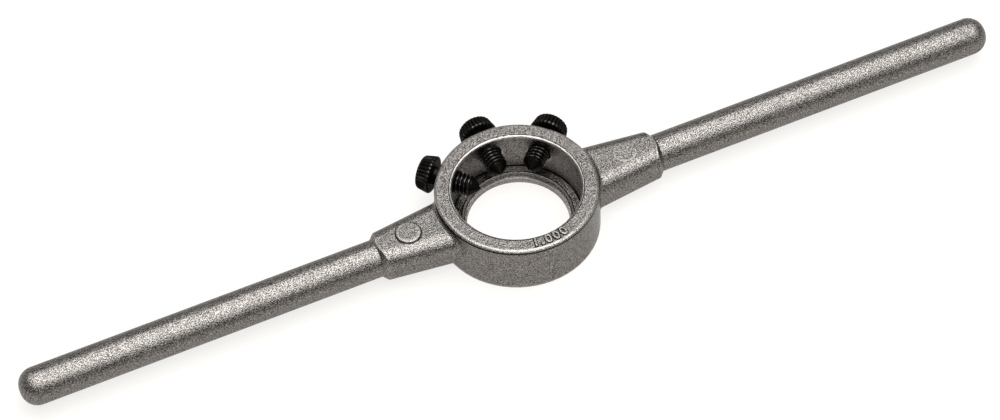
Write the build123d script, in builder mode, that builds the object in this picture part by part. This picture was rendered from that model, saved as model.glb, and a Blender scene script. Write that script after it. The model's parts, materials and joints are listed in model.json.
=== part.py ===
"""Die stock handle for round split dies: one casting and three cone-point screws.

Millimetres. The die axis is Z through the origin, the ring rests on z = 0,
the two arms lie along X and the screws stand in the +Y half of the ring.
"""

import os
from math import cos, hypot, radians, sin, tan

from build123d import *

# The die that the stock is made for, and the pocket that takes it
die_diameter = 25.4
die_thickness = 9.0
die_clearance = 0.05
pocket_radius = die_diameter / 2 + die_clearance
mouth_rounding = 0.6

# Stepped seat under the die, from the pocket wall in to the work hole
seat_width = 1.75
slope_width = 0.4
ledge_width = 0.4
seat_inner_radius = pocket_radius - seat_width
slope_foot_radius = seat_inner_radius - slope_width
work_hole_radius = slope_foot_radius - ledge_width

# Ring
ring_wall = 3.55
floor_thickness = 2.2
ledge_thickness = 1.4
ring_edge = 0.8
base_edge = 0.15
ring_radius = pocket_radius + ring_wall
ring_height = floor_thickness + die_thickness

# Round arms, a little below mid height
overall_length = 208.2
arm_drop = 0.2
arm_radius = 3.8
arm_nose = 3.4
half_length = overall_length / 2
arm_z = ring_height / 2 - arm_drop

# Tapered bosses between ring and arms, standing out from the arm all round
boss_length = 14.0
boss_above_arm = 0.3
boss_beside_arm = 0.65
boss_spread = 1.75
boss_long_edge = 3.1
junction_fillet = 0.8
boss_end = ring_radius + boss_length
boss_half_height = arm_radius + boss_above_arm
boss_end_half_width = arm_radius + boss_beside_arm
boss_ring_half_width = boss_end_half_width + boss_spread

# Raised ejector mark on the left boss
mark_from_ring = 6.95
mark_radius = 2.55
mark_height = 0.4
mark_edge = 0.35

# Screws and their holes
screw_above_floor = 5.0
screw_radius = 2.2
screw_clearance = 0.05
point_half_angle = 45.0
point_flat_radius = 0.2
right_screw_angle = 45.0
centre_screw_angle = 90.0
left_screw_angle = 133.6
side_screw_free_length = 6.3
centre_screw_free_length = 7.05
right_screw_reach = 5.1
centre_screw_reach = 5.55
left_screw_reach = 4.95
screw_z = floor_thickness + screw_above_floor
hole_radius = screw_radius + screw_clearance

# Screw heads
head_length = 2.95
head_inner_radius = 3.9
head_outer_radius = 3.3
head_inner_edge = 0.25
head_outer_edge = 0.5
knurl_teeth = 28
knurl_depth = 0.26
knurl_land_share = 0.4
socket_across_flats = 3.0
socket_depth = 1.8

# How far the cutting shapes run on past the surfaces they open, and how near two
# places count as the same when edges are picked
overrun = 1.0
near = 0.01

# Each screw's direction around the die axis, how far its point stands inside the
# pocket wall, and how much of its shank is outside the wall
screws = {
    "right_screw": (right_screw_angle, right_screw_reach, side_screw_free_length),
    "centre_screw": (centre_screw_angle, centre_screw_reach, centre_screw_free_length),
    "left_screw": (left_screw_angle, left_screw_reach, side_screw_free_length),
}

os.makedirs("parts", exist_ok=True)


def radial_plane(angle, radius):
    """Plane across a screw's axis, its normal pointing away from the die axis."""
    turn = radians(angle)
    outward = Vector(cos(turn), sin(turn), 0)
    return Plane(
        origin=outward * radius + Vector(0, 0, screw_z),
        x_dir=(-sin(turn), cos(turn), 0),
        z_dir=outward,
    )


# The solid ring, its seam turned to the front, away from bosses and screws
with BuildPart() as ring_blank:
    Cylinder(
        ring_radius,
        ring_height,
        rotation=(0, 0, -90),
        align=(Align.CENTER, Align.CENTER, Align.MIN),
    )
    rims = ring_blank.edges().filter_by(GeomType.CIRCLE).sort_by(Axis.Z)
    fillet(rims[-1], ring_edge)
    chamfer(rims[0], base_edge)

# One boss: tapered in plan, its long edges rounded
boss_slope = (boss_ring_half_width - boss_end_half_width) / boss_length
boss_root_half_width = boss_end_half_width + boss_slope * boss_end
with BuildPart() as boss:
    with BuildSketch(Plane.XY.offset(arm_z - boss_half_height)):
        with BuildLine():
            Polyline(
                (0, -boss_root_half_width),
                (boss_end, -boss_end_half_width),
                (boss_end, boss_end_half_width),
                (0, boss_root_half_width),
                close=True,
            )
        make_face()
    extrude(amount=2 * boss_half_height)
    long_edges = [
        e for e in boss.edges() if abs((e @ 0).X - (e @ 1).X) > boss_end / 2
    ]
    fillet(long_edges, boss_long_edge)

    # Outer end turned to a 45 degree bevel that meets the arm's surface
    corner_radius = hypot(boss_root_half_width, boss_half_height)
    with BuildSketch(Plane.XZ):
        with BuildLine():
            Polyline(
                (0, arm_z),
                (boss_end, arm_z),
                (boss_end, arm_z + arm_radius),
                (boss_end + arm_radius - corner_radius, arm_z + corner_radius),
                (0, arm_z + corner_radius),
                close=True,
            )
        make_face()
    revolve(axis=Axis((0, 0, arm_z), (1, 0, 0)), mode=Mode.INTERSECT)

# One arm, turned about its own axis, with a rounded nose
with BuildPart() as arm:
    with BuildSketch(Plane.XZ):
        with BuildLine():
            nose = CenterArc(
                (half_length - arm_nose, arm_z + arm_radius - arm_nose), arm_nose, 0, 90
            )
            Polyline(nose @ 1, (0, arm_z + arm_radius), (0, arm_z), (half_length, arm_z), nose @ 0)
        make_face()
    revolve(axis=Axis((0, 0, arm_z), (1, 0, 0)))

# Ring and bosses first, so that their meeting lines can be rounded
with BuildPart() as stock:
    add(ring_blank.part)
    add(boss.part)
    add(mirror(boss.part, about=Plane.YZ))
    boss_top = arm_z + boss_half_height
    boss_bottom = arm_z - boss_half_height
    meeting = []
    for edge in stock.edges():
        middle = edge @ 0.5
        on_ring = abs(hypot(middle.X, middle.Y) - ring_radius) < near
        on_boss = abs(middle.Y) < boss_root_half_width
        between = boss_bottom - near < middle.Z < boss_top + near
        if on_ring and on_boss and between:
            meeting.append(edge)

    # The fillet stays within the wall left above and below the boss
    wall_left = min(ring_height - ring_edge - boss_top, boss_bottom - base_edge)
    fillet(meeting, min(junction_fillet, wall_left - near))
    add(arm.part)
    add(mirror(arm.part, about=Plane.YZ))

    # Raised round ejector mark, rooted well inside the boss
    mark_x = -(ring_radius + mark_from_ring)
    with Locations((mark_x, 0, arm_z)):
        Cylinder(
            mark_radius,
            boss_half_height + mark_height,
            align=(Align.CENTER, Align.CENTER, Align.MIN),
        )
    mark_rims = stock.edges().filter_by(GeomType.CIRCLE).filter_by(
        lambda e: abs(e.arc_center.X - mark_x) < near
    )
    chamfer(mark_rims.sort_by(Axis.Z)[-1], mark_edge)

    # Die pocket, seat, step and work hole, turned in one
    with BuildSketch(Plane.XZ):
        with BuildLine():
            lip = CenterArc(
                (pocket_radius + mouth_rounding, ring_height - mouth_rounding),
                mouth_rounding,
                180,
                -90,
            )
            Polyline(
                lip @ 1,
                (pocket_radius + mouth_rounding, ring_height + overrun),
                (0, ring_height + overrun),
                (0, -overrun),
                (work_hole_radius, -overrun),
                (work_hole_radius, ledge_thickness),
                (slope_foot_radius, ledge_thickness),
                (seat_inner_radius, floor_thickness),
                (pocket_radius, floor_thickness),
                lip @ 0,
            )
        make_face()
    revolve(axis=Axis.Z, mode=Mode.SUBTRACT)

    # Screw holes through the wall
    for angle, _, _ in screws.values():
        with BuildSketch(radial_plane(angle, pocket_radius / 2)):
            Circle(hole_radius)
        extrude(amount=ring_radius, mode=Mode.SUBTRACT)

stock.part.label = "stock_body"
export_step(stock.part, "parts/stock_body.step")

# Each screw is drawn along its own axis from the point outward, then stood in its hole
point_length = (screw_radius - point_flat_radius) / tan(radians(point_half_angle))
tooth_angle = 360 / knurl_teeth
head_taper = head_inner_radius - head_outer_radius
for name, (angle, reach, free_length) in screws.items():
    shank = ring_wall + free_length
    top = shank + head_length

    # Knurled outline at the head's inner end, drawn once and scaled to the outer end
    outline = []
    for tooth in range(knurl_teeth):
        for turn, radius in (
            (-knurl_land_share / 2, head_inner_radius),
            (knurl_land_share / 2, head_inner_radius),
            (0.5, head_inner_radius - knurl_depth),
        ):
            outline.append(Vector(radius, 0).rotate(Axis.Z, (tooth + turn) * tooth_angle))
    with BuildPart() as head:
        with BuildSketch(Plane.XY.offset(shank)) as inner_end:
            Polygon(*outline, align=None)
        with BuildSketch(Plane.XY.offset(top)):
            add(scale(inner_end.sketch_local, by=head_outer_radius / head_inner_radius))
        loft(ruled=True)

        # Both rims bevelled at 45 degrees
        with BuildSketch(Plane.XZ):
            with BuildLine():
                Polyline(
                    (0, shank),
                    (head_inner_radius - head_inner_edge, shank),
                    (head_inner_radius, shank + head_inner_edge),
                    (head_inner_radius, top - head_outer_edge - head_taper),
                    (head_outer_radius - head_outer_edge, top),
                    (0, top),
                    close=True,
                )
            make_face()
        revolve(axis=Axis.Z, mode=Mode.INTERSECT)

        # Hexagon socket in the outer end
        with BuildSketch(Plane.XY.offset(top)):
            RegularPolygon(socket_across_flats / 2, 6, major_radius=False)
        extrude(amount=-socket_depth, mode=Mode.SUBTRACT)

    with BuildPart() as screw:
        with BuildSketch(Plane.XZ):
            with BuildLine():
                Polyline(
                    (0, 0),
                    (point_flat_radius, 0),
                    (screw_radius, point_length),
                    (screw_radius, shank),
                    (0, shank),
                    close=True,
                )
            make_face()
        revolve(axis=Axis.Z)
        add(head.part)
    placed = radial_plane(angle, pocket_radius - reach) * screw.part
    placed.label = name
    export_step(placed, f"parts/{name}.step")
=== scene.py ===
"""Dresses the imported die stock: a blasted zinc casting and three knurled cone-point screws."""

import json
import math

import bpy
import numpy as np
from mathutils import Matrix, Vector


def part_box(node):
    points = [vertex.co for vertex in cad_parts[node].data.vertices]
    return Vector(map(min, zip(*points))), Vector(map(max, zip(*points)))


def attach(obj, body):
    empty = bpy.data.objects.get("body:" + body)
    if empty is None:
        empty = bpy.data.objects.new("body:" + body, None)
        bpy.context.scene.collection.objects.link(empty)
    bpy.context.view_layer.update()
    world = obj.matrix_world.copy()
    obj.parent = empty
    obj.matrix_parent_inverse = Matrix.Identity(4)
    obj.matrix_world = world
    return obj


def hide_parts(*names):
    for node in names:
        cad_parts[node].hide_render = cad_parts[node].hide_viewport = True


bl_info = {
    "name": "Die Stock Handle",
    "version": (1, 0, 0),
    "blender": (4, 5, 0),
    "location": "3D View > Sidebar > Die Stock",
    "description": "Dresses the die stock's casting and screws and sets its stage",
    "category": "Object",
}

MM = 0.001
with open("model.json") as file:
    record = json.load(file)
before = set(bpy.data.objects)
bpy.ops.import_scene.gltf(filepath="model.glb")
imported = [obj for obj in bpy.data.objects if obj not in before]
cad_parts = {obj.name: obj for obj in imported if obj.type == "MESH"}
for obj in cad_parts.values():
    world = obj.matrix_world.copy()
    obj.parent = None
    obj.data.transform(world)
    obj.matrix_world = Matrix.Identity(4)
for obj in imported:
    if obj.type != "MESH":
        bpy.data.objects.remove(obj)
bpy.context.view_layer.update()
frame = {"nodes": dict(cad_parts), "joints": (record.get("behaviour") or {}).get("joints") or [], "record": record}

# The height of the ring's top, and the pocket that takes the die
casting_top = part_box("stock_body")[1].z
pocket = next(m for m in frame["record"]["mounts"] if m["name"] == "die_pocket")

# Faces that meet at more than this angle, in degrees, keep a crease between them
CAST_CREASE = 50
STEEL_CREASE = 32

# A digit's height as a share of the font's size, the room that it takes along the ring as
# a share of its height, and the decimal point's room as a share of a digit's
FONT_SHARE = 0.7
DIGIT_ROOM = 0.87
POINT_ROOM = 0.55

# How finely the digits, the pin marks and the screws are divided
DIGIT_CURVE_STEPS = 6
DIGIT_EDGE_STEPS = 2
MARK_SIDES = 96
MARK_RIM_POINTS = 8
POINTS_PER_TOOTH = 6
RINGS_PER_PITCH = 10
HEAD_RIM_POINTS = 7
HEAD_SIDE_POINTS = 6


def linear(hex_colour):
    """An sRGB hex colour as the linear values that Blender works in."""
    channels = [int(hex_colour[i : i + 2], 16) / 255 for i in (1, 3, 5)]
    return [c / 12.92 if c <= 0.04045 else ((c + 0.055) / 1.055) ** 2.4 for c in channels]


def colour(name, description, hex_colour):
    """A colour property with an sRGB default."""
    return bpy.props.FloatVectorProperty(
        name=name,
        description=description,
        subtype="COLOR",
        size=3,
        min=0.0,
        max=1.0,
        default=linear(hex_colour),
    )


def size(name, description, millimetres):
    """A length property, kept in metres."""
    return bpy.props.FloatProperty(
        name=name,
        description=description,
        default=millimetres * MM,
        precision=5,
        subtype="DISTANCE",
        unit="LENGTH",
    )


def angle(name, description, degrees):
    """An angle property, kept in radians."""
    return bpy.props.FloatProperty(
        name=name, description=description, default=math.radians(degrees), subtype="ANGLE"
    )


def share(name, description, value):
    """A property that runs from nothing at 0 to all at 1."""
    return bpy.props.FloatProperty(
        name=name, description=description, default=value, min=0.0, max=1.0, subtype="FACTOR"
    )


class DieStockCasting(bpy.types.PropertyGroup):
    """Finish of the casting"""

    skin_light: colour("Skin light", "Crests of the blasted skin", "#96928E")
    skin_dark: colour("Skin dark", "Hollows of the blasted skin", "#403D3A")
    # Rubbed wear and painted highlight: colour of the brightened outer corners
    rubbed_and_highlit: colour("Worn and highlit", "Corners that handling has brightened", "#B4B0AB")
    # Painted shade: colour of the dark sheet beside the digits and the left pin mark
    shade_sheet_colour: colour("Shade sheet", "Skin that no bead reaches, beside raised forms", "#2A2826")
    smooth: share("Smooth", "Least roughness of the skin", 0.15)
    rough: share("Rough", "Greatest roughness of the skin", 0.23)
    # Roughness of that painted shade sheet
    dull: share("Dull", "Roughness of the skin that no bead reaches", 0.5)
    glare: share("Glare", "How much of bare metal's grazing glare the skin keeps", 0.7)
    grit: size("Grit", "Width of one blasting dimple", 0.21)
    grit_depth: size("Grit depth", "Depth of the dimples", 0.1)
    ripple: size("Ripple", "Width of the skin's slow unevenness", 2.2)
    ripple_depth: size("Ripple depth", "Depth of the unevenness", 0.08)
    corner: size("Corner", "Rounding that the eye sees on sharp corners", 0.2)
    # Rubbed wear and painted highlight on outer corners: how deep and how bright, less on the digits and faint
    # mark, more on the ring's rim
    rub_and_highlight_reach: size("Wear and highlight reach", "How deep around an outer corner the skin is rubbed", 0.8)
    rub_and_highlight: share("Wear and highlight", "How bright the casting's outer corners are rubbed", 0.5)
    less_rub_and_highlight: share("Less wear and highlight", "The same for the digits and the faint mark", 0.3)
    rim_highlight: share("Rim highlight", "How much more the ring's outer rim is rubbed", 0.35)
    # Painted shade: inner corners are darkened within this distance, down to this share of their colour
    shade: size("Shade", "How far from an inner corner the skin stays dark", 0.45)
    corner_shade_light: share("Corner light", "What the skin keeps of its colour there", 0.2)
    # Painted shade: what the skin keeps of its colour in a fine dark line
    shade_line_light: share("Line light", "What the skin keeps of its colour in a fine line", 0.1)
    # Painted highlight on the pocket's mouth band and the ring's rim, with fine lines of painted shade beside them
    # and along the seat's edges
    mouth_radius: size("Mouth radius", "Outer radius of the pocket's turned mouth", 13.3)
    mouth_height: size("Mouth height", "Height of that mouth's bright band", 0.5)
    mouth_shade_line: size("Mouth line", "Width of the dark line around that band", 0.2)
    rim_radius: size("Rim radius", "Inner radius of the ring's rounded outer rim", 15.6)
    rim_height: size("Rim height", "Height of that rim, down to a dark line", 0.64)
    rim_shade_line: size("Rim line", "Width of that dark line", 0.36)
    seat_height: size("Seat height", "Height of the die's seat", pocket["pos_m"][2] / MM)
    seat_inner: size("Seat inner", "Inner radius of the die's seat", 11.0)
    seat_outer: size("Seat outer", "Outer radius of the seat", pocket["dims"]["r_mm"])
    seat_shade_line: size("Seat line", "Width of the dark lines along the seat's two edges", 0.28)


class DieStockNumber(bpy.types.PropertyGroup):
    """Raised number on the ring's front"""

    number: bpy.props.StringProperty(
        name="Number", description="Plain raised number on the ring", default="1.000"
    )
    height: size("Height", "Height of one digit", 1.95)
    point_scale: bpy.props.FloatProperty(
        name="Point scale", description="Size of the point over its font's", default=1.7, min=0.1
    )
    relief: size("Relief", "How far the digits stand up", 0.25)
    stroke: size("Stroke", "Thickening of the digits' strokes", 0.09)
    edge: size("Edge", "Rounding of the digits' upper edges", 0.06)
    # Painted shade: a thin dark sheet around the digits' feet
    foot_width: size("Foot width", "Width of the dark skin around the digits", 0.15)
    foot_relief: size("Foot relief", "Height of that dark skin", 0.02)
    radius: size("Radius", "Distance of the digits from the die axis", 14.28)
    direction: angle("Direction", "Direction of the number's middle", 272.5)


class DieStockMarks(bpy.types.PropertyGroup):
    """Round pin marks on the two bosses"""

    faint_radius: size("Faint radius", "Radius of the faint mark on the right boss", 2.4)
    faint_place: size("Faint place", "Distance of that mark from the die axis", 23.4)
    faint_relief: size("Faint relief", "Height of that mark", 0.03)
    faint_rim: size("Faint rim", "Rounding of that mark's rim", 0.05)
    radius: size("Radius", "Radius of the mark on the left boss", 2.56)
    place: size("Place", "Distance of that mark from the die axis", 23.25)
    relief: size("Relief", "Height of that mark", 0.41)
    rim: size("Rim", "Rounding of that mark's rim", 0.35)
    # Painted shade: a thin dark sheet around the left mark's foot
    foot_width: size("Foot width", "Width of the dark skin around that mark", 0.15)
    foot_relief: size("Foot relief", "Height of that dark skin", 0.02)
    foot_rim: size("Foot rim", "Rounding of that dark skin's edge", 0.01)
    root: size("Root", "How deep the marks are rooted in the bosses", 2.0)


class DieStockScrews(bpy.types.PropertyGroup):
    """Form and finish of the three screws"""

    oxide: colour("Oxide", "Black oxide on the steel", "#1A1816")
    # Wear and painted highlight: lighter steel on crests, teeth and the heads' rims
    worn_and_glint: colour("Worn and glint", "Steel that shows on crests and teeth", "#8A8885")
    film_metallic: share("Film metallic", "How metallic the oxide film looks", 0.85)
    smooth: share("Smooth", "Least roughness of the oxide", 0.22)
    rough: share("Rough", "Greatest roughness of the oxide", 0.32)
    glare: share("Glare", "How much of bare metal's grazing glare the oxide keeps", 0.35)
    patch: size("Patch", "Width of one patch that handling has rubbed", 0.5)
    patch_relief: size("Patch relief", "Unevenness of the oxide", 0.01)
    tip_wear: share("Tip wear", "Wear of the flat on the cone point", 0.5)
    crest_wear_and_glint: share("Crest wear and glint", "Wear of the thread's crests", 0.7)
    face_wear: share("Face wear", "Wear of the face under the head", 0.02)
    tooth_wear_and_glint: share("Tooth wear and glint", "Wear of the knurl's teeth", 0.1)
    rim_wear_and_glint: share("Rim wear and glint", "Further wear of the teeth on the head's rims", 0.4)
    pitch: size("Pitch", "Distance between two thread crests", 0.8)
    thread_depth: size("Thread depth", "Depth of the thread", 0.46)
    thread_radius: size("Thread radius", "Radius over the thread's crests", 2.2)
    crest_flat: share("Crest flat", "Width of a crest's flat as a share of the pitch", 0.12)
    flanks: share("Flanks", "Width of its two flanks as a share of the pitch", 0.66)
    neck: size("Neck", "Plain length between the thread and the head", 0.7)
    neck_depth: share("Neck depth", "Depth of the neck as a share of the thread's", 0.8)
    tip_radius: size("Tip radius", "Radius of the flat on the cone point", 0.2)
    head_length: size("Head length", "Length of the head", 2.95)
    head_inner: size("Head inner radius", "Radius of the head at the ring's side", 3.9)
    head_outer: size("Head outer radius", "Radius of the head at its free end", 3.3)
    inner_round: size("Inner rounding", "Rounding of the head's rim at the ring's side", 0.5)
    outer_round: size("Outer rounding", "Rounding of the head's rim at its free end", 0.6)
    teeth: bpy.props.IntProperty(
        name="Teeth", description="Teeth of the straight knurl", default=28, min=6
    )
    tooth_depth: size("Tooth depth", "Depth of the knurl", 0.34)
    tooth_land: share("Tooth land", "Width of a tooth's flat as a share of its flanks", 0.05)
    socket: size("Socket", "Hexagon socket across its flats", 3.0)
    socket_depth: size("Socket depth", "Depth of the hexagon socket", 1.8)
    drill_point: size("Drill point", "Depth of the drill point in its bottom", 0.35)


class DieStockStage(bpy.types.PropertyGroup):
    """Camera, lamps and floor"""

    azimuth: angle("Azimuth", "Camera's turn around the die axis", -21.88)
    elevation: angle("Elevation", "Camera's height above the floor as an angle", 51.61)
    roll: angle("Roll", "Camera's turn about its own axis", -3.07)
    distance: size("Distance", "From the ring's centre to the camera's plane", 718.9)
    aside: size("Aside", "Camera's shift to its left of the ring's centre", 3.463)
    below: size("Below", "Camera's shift below the ring's centre", 1.036)
    aim_height: size("Aim height", "Height of the ring's centre", 5.6)
    lens: bpy.props.FloatProperty(
        name="Lens", description="Focal length", default=131.44, subtype="DISTANCE_CAMERA"
    )
    sensor: bpy.props.FloatProperty(
        name="Sensor", description="Sensor's width", default=36.0, subtype="DISTANCE_CAMERA"
    )
    nearest: size("Nearest", "Nearest distance that the camera sees", 50.0)
    farthest: size("Farthest", "Farthest distance that the camera sees", 20000.0)
    overhead: bpy.props.FloatProperty(
        name="Overhead",
        description="Power of the overhead softbox",
        default=31.0,
        subtype="POWER",
        unit="POWER",
    )
    softbox_width: size("Softbox width", "Softbox from left to right", 1500.0)
    softbox_depth: size("Softbox depth", "Softbox from front to back", 1650.0)
    softbox_place: bpy.props.FloatVectorProperty(
        name="Softbox place",
        description="Middle of the softbox",
        default=(0.2, -0.23, 1.0),
        subtype="TRANSLATION",
        unit="LENGTH",
    )
    room: colour("Room", "Light of the room around the softbox", "#FBFDFF")
    room_back: share("Room back", "Strength of the pale room behind the stock", 0.5)
    room_front: share("Room front", "Strength of the darker room in front of it", 0.12)
    floor: colour("Floor", "Paper that the stock lies on", "#747270")
    floor_glow: colour("Floor glow", "Brightness that the paper has of itself", "#FFFDFB")
    glow_strength: share("Glow strength", "Strength of that brightness", 0.79)
    floor_gap: size("Floor gap", "Gap between the paper and the ring that rests on it", 0.02)
    floor_reach: size("Floor reach", "Half the paper's width", 3000.0)


def add_node(tree, kind, inputs=None, **settings):
    """Adds a node, sets its settings, and sets or links its inputs.

    A socket whose name another one shares, such as a Mix node's colours, which are 6 and
    7, goes by its number.
    """
    node = tree.nodes.new(kind)
    for name, value in settings.items():
        setattr(node, name, value)
    for socket, value in (inputs or {}).items():
        if isinstance(value, bpy.types.NodeSocket):
            tree.links.new(value, node.inputs[socket])
        else:
            node.inputs[socket].default_value = value
    return node


def start_material(name):
    """An empty node material and its tree."""
    material = bpy.data.materials.new(name)
    material.use_nodes = True
    material.node_tree.nodes.clear()
    return material, material.node_tree


def ring_faces(rings, count, first=0):
    """Faces between neighbouring rings of vertices, counted from the first ring's start."""
    faces = []
    for row in range(rings - 1):
        low = first + row * count
        high = low + count
        for i in range(count):
            after = (i + 1) % count
            faces.append((low + i, low + after, high + after, high + i))
    return faces


def mesh_piece(name, vertices, faces, material, body, crease):
    """A new smooth-shaded piece that rides on a body."""
    mesh = bpy.data.meshes.new(name)
    mesh.from_pydata([tuple(v) for v in vertices], [], faces)
    mesh.validate()
    mesh.polygons.foreach_set("use_smooth", [True] * len(mesh.polygons))
    mesh.set_sharp_from_angle(angle=math.radians(crease))
    mesh.materials.append(material)
    piece = bpy.data.objects.new(name, mesh)
    bpy.context.scene.collection.objects.link(piece)
    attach(piece, body)
    return piece


def grit_and_ripple(tree, look, place):
    """Noise of the blasted dimples at the grit's width, and of the mould's ripples."""
    millimetres = add_node(
        tree, "ShaderNodeVectorMath", {0: place, "Scale": 1 / MM}, operation="SCALE"
    ).outputs[0]
    grit = add_node(
        tree,
        "ShaderNodeTexNoise",
        {"Vector": millimetres, "Scale": MM / look.grit, "Detail": 2.0, "Roughness": 0.65},
    ).outputs[0]
    ripple = add_node(
        tree,
        "ShaderNodeTexNoise",
        {"Vector": millimetres, "Scale": MM / look.ripple, "Detail": 2.0, "Roughness": 0.5},
    ).outputs[0]
    return grit, ripple


def mouth_highlight_and_shade(tree, look, radius, height):
    """Painted highlight on the band around the pocket's mouth, and a fine line of painted shade around it."""
    foot = casting_top - look.mouth_height
    high = add_node(
        tree, "ShaderNodeMath", {0: height, 1: foot}, operation="GREATER_THAN"
    ).outputs[0]
    within = add_node(
        tree, "ShaderNodeMath", {0: radius, 1: look.mouth_radius}, operation="LESS_THAN"
    ).outputs[0]
    mouth_highlight = add_node(
        tree, "ShaderNodeMath", {0: high, 1: within}, operation="MULTIPLY"
    ).outputs[0]
    at_edge = add_node(
        tree,
        "ShaderNodeMath",
        {0: radius, 1: look.mouth_radius, 2: look.mouth_shade_line / 2},
        operation="COMPARE",
    ).outputs[0]
    shade_line = add_node(
        tree, "ShaderNodeMath", {0: high, 1: at_edge}, operation="MULTIPLY"
    ).outputs[0]
    return mouth_highlight, shade_line


def rim_highlight_and_shade(tree, look, radius, height):
    """Painted highlight on the ring's outer rim, and under it a fine line of painted shade."""
    foot = casting_top - look.rim_height
    outside = add_node(
        tree, "ShaderNodeMath", {0: radius, 1: look.rim_radius}, operation="GREATER_THAN"
    ).outputs[0]
    above = add_node(
        tree, "ShaderNodeMath", {0: height, 1: foot}, operation="GREATER_THAN"
    ).outputs[0]
    rim = add_node(
        tree, "ShaderNodeMath", {0: above, 1: outside}, operation="MULTIPLY"
    ).outputs[0]
    at_foot = add_node(
        tree,
        "ShaderNodeMath",
        {0: height, 1: foot, 2: look.rim_shade_line / 2},
        operation="COMPARE",
    ).outputs[0]
    shade_line = add_node(
        tree, "ShaderNodeMath", {0: at_foot, 1: outside}, operation="MULTIPLY"
    ).outputs[0]
    return rim, shade_line


def seat_shade_lines(tree, look, radius, height):
    """Fine lines of painted shade along the two edges of the die's seat."""
    at_seat = add_node(
        tree,
        "ShaderNodeMath",
        {0: height, 1: look.seat_height, 2: look.seat_shade_line},
        operation="COMPARE",
    ).outputs[0]
    lines = []
    for edge in (look.seat_inner + look.seat_shade_line / 2, look.seat_outer):
        at_edge = add_node(
            tree,
            "ShaderNodeMath",
            {0: radius, 1: edge, 2: look.seat_shade_line / 2},
            operation="COMPARE",
        ).outputs[0]
        shade_line = add_node(
            tree, "ShaderNodeMath", {0: at_seat, 1: at_edge}, operation="MULTIPLY"
        ).outputs[0]
        lines.append(shade_line)
    return lines


def corner_wear_and_highlight(tree, look, rub_and_highlight):
    """Outer corners painted brighter, partly as rubbed wear and partly as painted highlight: rays sent into the
    metal soon leave it there.
    """
    inward = add_node(
        tree,
        "ShaderNodeAmbientOcclusion",
        {"Distance": look.rub_and_highlight_reach},
        samples=8,
        inside=True,
        only_local=True,
    ).outputs["AO"]
    return add_node(
        tree,
        "ShaderNodeMapRange",
        {"Value": inward, "From Min": 0.94, "From Max": 0.74, "To Max": rub_and_highlight},
    ).outputs[0]


def painted_corner_shade(tree, look):
    """Painted shade in inner corners, from ambient occlusion: what the skin keeps of its colour there, 1 in the
    open.
    """
    open_air = add_node(
        tree, "ShaderNodeAmbientOcclusion", {"Distance": look.shade}, samples=8
    ).outputs["AO"]
    return add_node(
        tree,
        "ShaderNodeMapRange",
        {"Value": open_air, "From Min": 0.5, "From Max": 0.9, "To Min": look.corner_shade_light},
    ).outputs[0]


def skin_relief(tree, look, grit, ripple):
    """Bump of the dimples and ripples, over corners that the eye sees rounded."""
    dimples = add_node(
        tree, "ShaderNodeMath", {0: grit, 1: look.grit_depth}, operation="MULTIPLY"
    ).outputs[0]
    relief = add_node(
        tree,
        "ShaderNodeMath",
        {0: ripple, 1: look.ripple_depth, 2: dimples},
        operation="MULTIPLY_ADD",
    ).outputs[0]
    rounded = add_node(
        tree, "ShaderNodeBevel", {"Radius": look.corner}, samples=6
    ).outputs[0]
    return add_node(
        tree,
        "ShaderNodeBump",
        {"Height": relief, "Distance": 1.0, "Strength": 1.0, "Normal": rounded},
    ).outputs[0]


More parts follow.
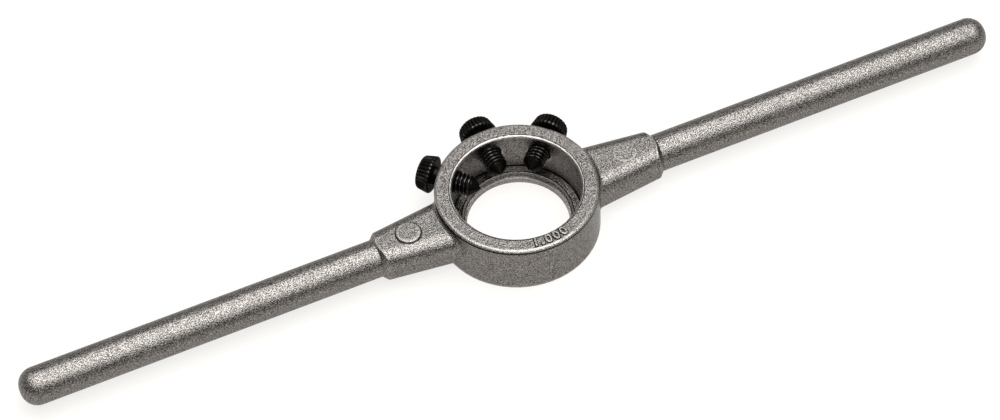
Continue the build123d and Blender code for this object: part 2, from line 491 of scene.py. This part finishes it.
def zinc_casting_bead_blasted(look, name, rub_and_highlight):
    """Zinc die casting, bead blasted all over, the die pocket too.

    Blasting gives the eye a grey grain whose dimples each catch the lamp apart, and the
    mould leaves a slow unevenness under it. Real dimples are finer and shallower, and are
    drawn as coarse as they need to show. Outer corners are painted brighter, partly as
    rubbed wear and partly as painted highlight, the ring's rim and the pocket's mouth carry
    painted highlights, and inner corners and fine lines beside those highlights and along
    the seat's edges carry painted shade.
    """
    material, tree = start_material(name)
    place = add_node(tree, "ShaderNodeTexCoord").outputs["Object"]
    height = add_node(tree, "ShaderNodeSeparateXYZ", {0: place}).outputs["Z"]
    flat = add_node(
        tree, "ShaderNodeVectorMath", {0: place, 1: (1, 1, 0)}, operation="MULTIPLY"
    ).outputs[0]
    radius = add_node(
        tree, "ShaderNodeVectorMath", {0: flat}, operation="LENGTH"
    ).outputs["Value"]
    grit, ripple = grit_and_ripple(tree, look, place)
    mouth_highlight, shade_line = mouth_highlight_and_shade(tree, look, radius, height)
    rim, rim_shade_line = rim_highlight_and_shade(tree, look, radius, height)

    # The noise lies around its middle, so it is spread over the whole range of colours
    spread = add_node(
        tree, "ShaderNodeMapRange", {"Value": grit, "From Min": 0.42, "From Max": 0.58}
    ).outputs[0]
    skin = add_node(
        tree,
        "ShaderNodeMix",
        {0: spread, 6: (*look.skin_dark, 1), 7: (*look.skin_light, 1)},
        data_type="RGBA",
    ).outputs[2]

    # Painted highlights: outer corners, partly rubbed wear, the ring's rim above all, and the pocket's mouth band
    # are painted brighter
    edge_highlights = add_node(
        tree,
        "ShaderNodeMath",
        {0: rim, 1: look.rim_highlight, 2: corner_wear_and_highlight(tree, look, rub_and_highlight)},
        operation="MULTIPLY_ADD",
    ).outputs[0]
    all_highlights = add_node(
        tree, "ShaderNodeMath", {0: edge_highlights, 1: mouth_highlight}, operation="MAXIMUM"
    ).outputs[0]
    bright = add_node(
        tree,
        "ShaderNodeMix",
        {0: all_highlights, 6: skin, 7: (*look.rubbed_and_highlit, 1)},
        data_type="RGBA",
    ).outputs[2]

    # Painted shade: dark lines beside the highlights and along the seat's edges, and inner corners darkened by
    # ambient occlusion
    for other in (rim_shade_line, *seat_shade_lines(tree, look, radius, height)):
        shade_line = add_node(
            tree, "ShaderNodeMath", {0: shade_line, 1: other}, operation="MAXIMUM"
        ).outputs[0]
    line_shade = add_node(
        tree, "ShaderNodeMapRange", {"Value": shade_line, "To Min": 1.0, "To Max": look.shade_line_light}
    ).outputs[0]
    painted_shade = add_node(
        tree,
        "ShaderNodeMath",
        {0: painted_corner_shade(tree, look), 1: line_shade},
        operation="MULTIPLY",
    ).outputs[0]
    base = add_node(
        tree, "ShaderNodeVectorMath", {0: bright, "Scale": painted_shade}, operation="SCALE"
    ).outputs[0]

    gloss = add_node(
        tree,
        "ShaderNodeMapRange",
        {
            "Value": ripple,
            "From Min": 0.3,
            "From Max": 0.7,
            "To Min": look.smooth,
            "To Max": look.rough,
        },
    ).outputs[0]
    shader = add_node(
        tree,
        "ShaderNodeBsdfPrincipled",
        {
            "Base Color": base,
            "Metallic": 1.0,
            "Roughness": gloss,
            "Specular Tint": (look.glare, look.glare, look.glare, 1),
            "Normal": skin_relief(tree, look, grit, ripple),
        },
    ).outputs[0]
    add_node(tree, "ShaderNodeOutputMaterial", {0: shader})
    return material


def painted_shade_sheet(look):
    """Painted shade: a dark, dull sheet laid on the casting right beside raised forms."""
    material, tree = start_material("painted_shade_sheet")
    shader = add_node(
        tree,
        "ShaderNodeBsdfPrincipled",
        {"Base Color": (*look.shade_sheet_colour, 1), "Metallic": 1.0, "Roughness": look.dull},
    ).outputs[0]
    add_node(tree, "ShaderNodeOutputMaterial", {0: shader})
    return material


def steel_black_oxide(look):
    """Steel screws, black oxide, oiled.

    The oxide is a near-black film over bright steel, so the screws are dark with
    small sharp lights, and crests and teeth are rubbed a little grey, in patches; that grey also paints highlights
    on them.
    """
    material, tree = start_material("steel_black_oxide")
    # Wear and painted highlight, stored on the mesh and mixed in patches towards the lighter grey
    wear_and_glint = add_node(tree, "ShaderNodeAttribute", attribute_name="worn_and_glinting").outputs["Fac"]
    place = add_node(tree, "ShaderNodeTexCoord").outputs["Object"]
    patch = add_node(
        tree, "ShaderNodeTexNoise", {"Vector": place, "Scale": 1 / look.patch, "Detail": 2.0}
    ).outputs[0]
    patchy = add_node(
        tree,
        "ShaderNodeMapRange",
        {"Value": patch, "From Min": 0.35, "From Max": 0.65, "To Min": 0.2},
    ).outputs[0]
    rubbed_and_highlit = add_node(
        tree, "ShaderNodeMath", {0: wear_and_glint, 1: patchy}, operation="MULTIPLY"
    ).outputs[0]
    base = add_node(
        tree,
        "ShaderNodeMix",
        {0: rubbed_and_highlit, 6: (*look.oxide, 1), 7: (*look.worn_and_glint, 1)},
        data_type="RGBA",
    ).outputs[2]
    metal = add_node(
        tree, "ShaderNodeMapRange", {"Value": rubbed_and_highlit, "To Min": look.film_metallic}
    ).outputs[0]
    gloss = add_node(
        tree,
        "ShaderNodeMapRange",
        {
            "Value": patch,
            "From Min": 0.3,
            "From Max": 0.7,
            "To Min": look.smooth,
            "To Max": look.rough,
        },
    ).outputs[0]
    bump = add_node(
        tree,
        "ShaderNodeBump",
        {"Height": patch, "Distance": look.patch_relief, "Strength": 0.6},
    ).outputs[0]
    shader = add_node(
        tree,
        "ShaderNodeBsdfPrincipled",
        {
            "Base Color": base,
            "Metallic": metal,
            "Roughness": gloss,
            "Specular Tint": (look.glare, look.glare, look.glare, 1),
            "Normal": bump,
        },
    ).outputs[0]
    add_node(tree, "ShaderNodeOutputMaterial", {0: shader})
    return material


class DIESTOCK_OT_casting(bpy.types.Operator):
    """Give the casting its finish, and make the finishes of the forms cast on it and of the painted shade beside
    them
    """

    bl_idname = "diestock.casting"
    bl_label = "Dress Casting"

    def execute(self, context):
        look = context.scene.diestock_casting
        skin = zinc_casting_bead_blasted(look, "zinc_casting_bead_blasted", look.rub_and_highlight)
        zinc_casting_bead_blasted(look, "zinc_casting_less_worn_and_highlit", look.less_rub_and_highlight)
        painted_shade_sheet(look)
        casting = frame["nodes"]["stock_body"]
        casting.data.materials.clear()
        casting.data.materials.append(skin)
        return {"FINISHED"}


class DIESTOCK_OT_number(bpy.types.Operator):
    """Raise the number on the ring, with a dark sheet of painted shade at its foot"""

    bl_idname = "diestock.number"
    bl_label = "Raise Number"

    def execute(self, context):
        look = context.scene.diestock_number
        finishes = bpy.data.materials
        digits = (look.relief, look.stroke, look.edge)
        self.raise_number(look, "size_number", digits, finishes["zinc_casting_less_worn_and_highlit"])
        # Painted shade: the digits widened and nearly flat, as a dark sheet at their feet
        foot = (look.foot_relief, look.stroke + look.foot_width, 0.0)
        self.raise_number(look, "size_number_shade_sheet", foot, finishes["painted_shade_sheet"])
        return {"FINISHED"}

    def raise_number(self, look, name, form, material):
        """Digits one by one along the ring's front, their feet towards the viewer."""
        relief, stroke, edge = form
        vertices, faces = [], []
        digit_room = DIGIT_ROOM * look.height
        rooms = [digit_room * (POINT_ROOM if c == "." else 1.0) for c in look.number]
        start = -sum(rooms) / 2
        for character, room in zip(look.number, rooms):
            text = bpy.data.curves.new("digit", "FONT")
            text.body = character
            text.align_x = "CENTER"
            text.size = look.height / FONT_SHARE
            if character == ".":
                text.size *= look.point_scale
            text.offset = stroke - edge
            text.extrude = relief - edge
            text.bevel_depth = edge
            text.bevel_resolution = DIGIT_EDGE_STEPS
            text.resolution_u = DIGIT_CURVE_STEPS
            letter = bpy.data.objects.new("digit", text)
            mesh = bpy.data.meshes.new_from_object(letter)
            along = look.direction + (start + room / 2) / look.radius
            start += room
            turn = Matrix.Rotation(along + math.pi / 2, 4, "Z")
            shift = Matrix.Translation((0, -look.radius - look.height / 2, casting_top))
            first = len(vertices)
            vertices += [turn @ shift @ v.co for v in mesh.vertices]
            faces += [[first + i for i in p.vertices] for p in mesh.polygons]
            bpy.data.objects.remove(letter)
            bpy.data.curves.remove(text)
            bpy.data.meshes.remove(mesh)
        mesh_piece(name, vertices, faces, material, "stock_body", CAST_CREASE)


class DIESTOCK_OT_marks(bpy.types.Operator):
    """Raise the round pin marks on the bosses, with a dark sheet of painted shade around the left one"""

    bl_idname = "diestock.marks"
    bl_label = "Raise Pin Marks"

    def execute(self, context):
        look = context.scene.diestock_marks
        finishes = bpy.data.materials
        for name, place, form, finish in (
            (
                "faint_pin_mark",
                look.faint_place,
                (look.faint_radius, look.faint_relief, look.faint_rim),
                "zinc_casting_less_worn_and_highlit",
            ),
            (
                "pin_mark",
                -look.place,
                (look.radius, look.relief, look.rim),
                "zinc_casting_bead_blasted",
            ),
            # Painted shade: a thin dark sheet around the left mark's foot
            (
                "pin_mark_shade_sheet",
                -look.place,
                (look.radius + look.foot_width, look.foot_relief, look.foot_rim),
                "painted_shade_sheet",
            ),
        ):
            self.raise_mark(look, name, place, form, finishes[finish])
        return {"FINISHED"}

    def boss_top(self, look):
        """Height of the bosses' tops, found with a ray from above the right one."""
        casting = frame["nodes"]["stock_body"]
        above, down = Vector((look.faint_place, 0, 1)), Vector((0, 0, -1))
        found, top, _, _ = casting.ray_cast(above, down)
        if not found:
            raise RuntimeError("No boss lies under the pin mark")
        return top.z

    def raise_mark(self, look, name, place, form, material):
        """A round pin mark with a rounded rim, rooted well inside the boss."""
        radius, relief, rim = form
        profile = [(radius, -look.root)]
        for a in np.linspace(0, math.pi / 2, MARK_RIM_POINTS):
            profile.append(
                (radius - rim + rim * math.cos(a), relief - rim + rim * math.sin(a))
            )
        profile.append((radius / 2, relief))
        top = self.boss_top(look)
        turn = np.arange(MARK_SIDES) * 2 * math.pi / MARK_SIDES
        vertices = [
            (place + r * math.cos(a), r * math.sin(a), top + z) for r, z in profile for a in turn
        ]
        faces = ring_faces(len(profile), MARK_SIDES)
        last = (len(profile) - 1) * MARK_SIDES
        faces.append([last + i for i in range(MARK_SIDES)])
        faces.append([MARK_SIDES - 1 - i for i in range(MARK_SIDES)])
        mesh_piece(name, vertices, faces, material, "stock_body", CAST_CREASE)


class DIESTOCK_OT_screws(bpy.types.Operator):
    """Build the threaded, knurled screws in place of the plain ones"""

    bl_idname = "diestock.screws"
    bl_label = "Build Screws"

    def execute(self, context):
        look = context.scene.diestock_screws
        material = steel_black_oxide(look)
        for joint in frame["joints"]:
            node = joint["child"]
            axis = Vector(joint["axis"]).normalized()
            corners = [v.co for v in frame["nodes"][node].data.vertices]
            tip = min(corners, key=axis.dot)
            length = axis.dot(max(corners, key=axis.dot)) - axis.dot(tip)
            across = Vector((-axis.y, axis.x, 0))
            place = Matrix((across, axis.cross(across), axis)).transposed().to_4x4()
            place.translation = tip
            vertices, faces, worn_and_glint = self.screw_mesh(look, length)
            piece = mesh_piece(
                node + "_detail",
                [place @ Vector(v) for v in vertices],
                faces,
                material,
                node,
                STEEL_CREASE,
            )
            wear_and_glint = piece.data.attributes.new("worn_and_glinting", "FLOAT", "POINT")
            wear_and_glint.data.foreach_set("value", np.array(worn_and_glint, np.float32))
            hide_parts(node)
        return {"FINISHED"}

    def screw_mesh(self, look, length):
        """Vertices, faces, and wear with painted highlight, of a screw along +Z, from its point to its socket."""
        count = look.teeth * POINTS_PER_TOOTH
        turn = np.arange(count) * 2 * math.pi / count
        shank = length - look.head_length
        rings = [
            (look.tip_radius, 0.0, look.tip_wear),
            *self.thread_rings(look, turn, shank - look.neck),
            *self.neck_rings(look, shank),
            *self.head_rings(look, turn, shank),
            *self.socket_rings(look, turn, length),
        ]
        vertices = [(0.0, 0.0, 0.0)]
        worn_and_glint = [look.tip_wear]
        for radius, z, wear_and_glint in rings:
            heights = np.full(count, z)
            vertices += list(zip(radius * np.cos(turn), radius * np.sin(turn), heights))
            worn_and_glint += list(np.full(count, wear_and_glint))
        vertices.append((0.0, 0.0, length - look.socket_depth - look.drill_point))
        worn_and_glint.append(0.0)
        faces = [(0, 1 + (i + 1) % count, 1 + i) for i in range(count)]
        faces += ring_faces(len(rings), count, 1)
        low = 1 + (len(rings) - 1) * count
        last = len(vertices) - 1
        faces += [(low + i, low + (i + 1) % count, last) for i in range(count)]
        return vertices, faces, worn_and_glint

    def thread_rings(self, look, turn, end):
        """The cone point and the thread, its crests worn and painted with highlight on their upper fifth."""
        rings = []
        worn_glint_share = 0.2
        step = look.pitch / RINGS_PER_PITCH
        for z in np.arange(step / 2, end, step):
            phase = (z / look.pitch - turn / (2 * math.pi)) % 1.0
            from_crest = np.abs(phase - 0.5) * 2
            depth = np.clip((from_crest - look.crest_flat) / look.flanks, 0, 1)
            radius = look.thread_radius - look.thread_depth * depth
            cone = look.tip_radius + z
            wear_and_glint = np.clip(1 - depth / worn_glint_share, 0, 1) * look.crest_wear_and_glint
            rings.append((np.minimum(radius, cone), z, np.where(cone < radius, 0.0, wear_and_glint)))
        return rings

    def neck_rings(self, look, shank):
        """The neck from the thread's run-out to a small bevel, then the head's face."""
        run_out, bevel = 0.2 * MM, 0.1 * MM
        neck = look.thread_radius - look.neck_depth * look.thread_depth
        face_start = look.thread_radius + 0.3 * MM
        face_end = look.head_inner - look.inner_round - 0.2 * MM
        return [
            (neck, shank - look.neck + run_out, 0.0),
            (neck, shank - bevel, 0.0),
            (neck + bevel, shank, 0.0),
            (face_start, shank, look.face_wear),
            (face_end, shank, look.face_wear),
        ]

    def head_rings(self, look, turn, shank):
        """The head's tapered side between two rounded rims, cut by the knurl.

        The knurl runs out half way into the rims' roundings, and its teeth are worn and painted
        with highlight down to two fifths of its depth.
        """
        run_out_share, worn_glint_share = 0.5, 0.4
        from_tooth = np.abs((turn * look.teeth / (2 * math.pi)) % 1.0 - 0.5) * 2
        depth = np.clip((1 + look.tooth_land) * from_tooth - look.tooth_land, 0, 1)
        tooth = np.clip(1 - depth / worn_glint_share, 0, 1)
        fall = (look.head_inner - look.head_outer) / look.head_length
        arc = np.linspace(0, math.pi / 2, HEAD_RIM_POINTS)
        lower = [
            (look.inner_round * (1 - math.cos(a)), look.inner_round * (1 - math.sin(a)))
            for a in arc
        ]
        upper = [
            (
                look.head_length - look.outer_round * (1 - math.cos(a)),
                look.outer_round * (1 - math.sin(a)),
            )
            for a in reversed(arc)
        ]
        side_end = look.head_length - look.outer_round
        middle = np.linspace(look.inner_round, side_end, HEAD_SIDE_POINTS)
        side = [(z, 0.0) for z in middle[1:-1]]
        rings = []
        for up, back in lower + side + upper:
            inner = (up - run_out_share * look.inner_round) / look.inner_round
            outer = (look.head_length - up) / (run_out_share * look.outer_round)
            cut = look.tooth_depth * depth * min(max(inner, 0.0), outer, 1.0)
            radius = look.head_inner - fall * up - back
            wear_and_glint = tooth * (look.tooth_wear_and_glint + look.rim_wear_and_glint * (back > 0))
            rings.append((radius - cut, shank + up, wear_and_glint))
        return rings

    def socket_rings(self, look, turn, length):
        """The free end and its hexagon socket, from a lip to the start of a drill point."""
        lip, lip_foot, lip_depth, lead_in = 0.2 * MM, 0.02 * MM, 0.04 * MM, 0.22 * MM
        drill_share, drill_depth = 0.5, 0.2 * MM
        sixth = math.pi / 3
        hexagon = look.socket / 2 / np.cos((turn + sixth / 2) % sixth - sixth / 2)
        corner = look.socket / 2 / math.cos(sixth / 2)
        bottom = length - look.socket_depth
        return [
            (corner + lip, length, 0.0),
            (np.maximum(hexagon, corner + lip_foot), length - lip_depth, 0.0),
            (hexagon, length - lead_in, 0.0),
            (hexagon, bottom, 0.0),
            (hexagon * drill_share, bottom - drill_depth, 0.0),
        ]


class DIESTOCK_OT_stage(bpy.types.Operator):
    """Set the pale floor, the soft studio light and the camera"""

    bl_idname = "diestock.stage"
    bl_label = "Set Stage"

    def execute(self, context):
        scene = context.scene
        stage = scene.diestock_stage
        scene.view_settings.view_transform = "Standard"
        self.lay_floor(scene, stage)
        self.light_room(scene, stage)
        self.hang_softbox(scene, stage)
        self.place_camera(scene, stage)
        return {"FINISHED"}

    def paper_white_matt(self, stage):
        """Matt paper. The eye and metal see it white where nothing shades it.

        The paper itself is grey, so that it throws little light on the object and keeps
        its shadow, and a glow that only those rays see makes it white. Seen from below
        it is clear, so that the underside can be looked at.
        """
        material, tree = start_material("paper_white_matt")
        paper = add_node(
            tree, "ShaderNodeBsdfDiffuse", {0: (*stage.floor, 1)}
        ).outputs[0]
        path = add_node(tree, "ShaderNodeLightPath")
        seen = path.outputs["Is Camera Ray"]
        for other in ("Is Glossy Ray", "Is Transmission Ray"):
            seen = add_node(
                tree, "ShaderNodeMath", {0: seen, 1: path.outputs[other]}, operation="MAXIMUM"
            ).outputs[0]
        lift = add_node(
            tree, "ShaderNodeMath", {0: seen, 1: stage.glow_strength}, operation="MULTIPLY"
        ).outputs[0]
        glow = add_node(
            tree, "ShaderNodeEmission", {"Color": (*stage.floor_glow, 1), "Strength": lift}
        ).outputs[0]
        both = add_node(tree, "ShaderNodeAddShader", {0: paper, 1: glow}).outputs[0]
        under = add_node(tree, "ShaderNodeNewGeometry").outputs["Backfacing"]
        clear = add_node(tree, "ShaderNodeBsdfTransparent").outputs[0]
        sided = add_node(
            tree, "ShaderNodeMixShader", {0: under, 1: both, 2: clear}
        ).outputs[0]
        add_node(tree, "ShaderNodeOutputMaterial", {0: sided})
        return material

    def lay_floor(self, scene, stage):
        """One sheet of paper just under the ring."""
        reach, depth = stage.floor_reach, -stage.floor_gap
        corners = [(-reach, -reach), (reach, -reach), (reach, reach), (-reach, reach)]
        mesh = bpy.data.meshes.new("floor")
        mesh.from_pydata([(x, y, depth) for x, y in corners], [], [(0, 1, 2, 3)])
        mesh.materials.append(self.paper_white_matt(stage))
        floor = bpy.data.objects.new("floor", mesh)
        scene.collection.objects.link(floor)

    def light_room(self, scene, stage):
        """A room around the softbox, pale behind the stock and darker in front of it."""
        world = bpy.data.worlds.new("room")
        world.use_nodes = True
        tree = world.node_tree
        tree.nodes.clear()
        way = add_node(tree, "ShaderNodeTexCoord").outputs["Generated"]
        backward = add_node(tree, "ShaderNodeSeparateXYZ", {0: way}).outputs["Y"]
        strength = add_node(
            tree,
            "ShaderNodeMapRange",
            {
                "Value": backward,
                "From Min": -0.5,
                "From Max": 0.8,
                "To Min": stage.room_front,
                "To Max": stage.room_back,
            },
        ).outputs[0]
        glow = add_node(
            tree, "ShaderNodeBackground", {"Color": (*stage.room, 1), "Strength": strength}
        ).outputs[0]
        add_node(tree, "ShaderNodeOutputWorld", {0: glow})
        scene.world = world

    def hang_softbox(self, scene, stage):
        """One large softbox above, a little to the front and right."""
        data = bpy.data.lights.new("softbox", "AREA")
        data.shape = "RECTANGLE"
        data.size = stage.softbox_width
        data.size_y = stage.softbox_depth
        data.energy = stage.overhead
        lamp = bpy.data.objects.new("softbox", data)
        lamp.location = stage.softbox_place
        scene.collection.objects.link(lamp)

    def place_camera(self, scene, stage):
        """The photograph's viewpoint, measured from the ring's centre."""
        turn, lift, roll = stage.azimuth, stage.elevation, stage.roll
        back = Vector(
            (
                math.sin(turn) * math.cos(lift),
                -math.cos(turn) * math.cos(lift),
                math.sin(lift),
            )
        )
        level = Vector((math.cos(turn), math.sin(turn), 0))
        upright = back.cross(level)
        right = level * math.cos(roll) + upright * math.sin(roll)
        up = upright * math.cos(roll) - level * math.sin(roll)
        data = bpy.data.cameras.new("camera")
        data.sensor_width = stage.sensor
        data.lens = stage.lens
        data.clip_start = stage.nearest
        data.clip_end = stage.farthest
        camera = bpy.data.objects.new("camera", data)
        place = Matrix((right, up, back)).transposed().to_4x4()
        place.translation = (
            Vector((0, 0, stage.aim_height))
            + back * stage.distance
            - right * stage.aside
            - up * stage.below
        )
        camera.matrix_world = place
        scene.collection.objects.link(camera)
        scene.camera = camera


class DIESTOCK_PT_panel(bpy.types.Panel):
    """Settings and steps of the die stock"""

    bl_idname = "DIESTOCK_PT_panel"
    bl_label = "Die Stock"
    bl_space_type = "VIEW_3D"
    bl_region_type = "UI"
    bl_category = "Die Stock"

    def draw(self, context):
        for group, step in (
            ("diestock_casting", "diestock.casting"),
            ("diestock_number", "diestock.number"),
            ("diestock_marks", "diestock.marks"),
            ("diestock_screws", "diestock.screws"),
            ("diestock_stage", "diestock.stage"),
        ):
            settings = getattr(context.scene, group)
            box = self.layout.box()
            for name in settings.__annotations__:
                box.prop(settings, name)
            box.operator(step)


GROUPS = {
    "diestock_casting": DieStockCasting,
    "diestock_number": DieStockNumber,
    "diestock_marks": DieStockMarks,
    "diestock_screws": DieStockScrews,
    "diestock_stage": DieStockStage,
}
CLASSES = (
    *GROUPS.values(),
    DIESTOCK_OT_casting,
    DIESTOCK_OT_number,
    DIESTOCK_OT_marks,
    DIESTOCK_OT_screws,
    DIESTOCK_OT_stage,
    DIESTOCK_PT_panel,
)


def register():
    for cls in CLASSES:
        bpy.utils.register_class(cls)
    for name, group in GROUPS.items():
        setattr(bpy.types.Scene, name, bpy.props.PointerProperty(type=group))


def unregister():
    for name in GROUPS:
        delattr(bpy.types.Scene, name)
    for cls in reversed(CLASSES):
        bpy.utils.unregister_class(cls)


def main():
    """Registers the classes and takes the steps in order."""
    register()
    bpy.ops.diestock.casting()
    bpy.ops.diestock.number()
    bpy.ops.diestock.marks()
    bpy.ops.diestock.screws()
    bpy.ops.diestock.stage()


if __name__ == "__main__":
    main()
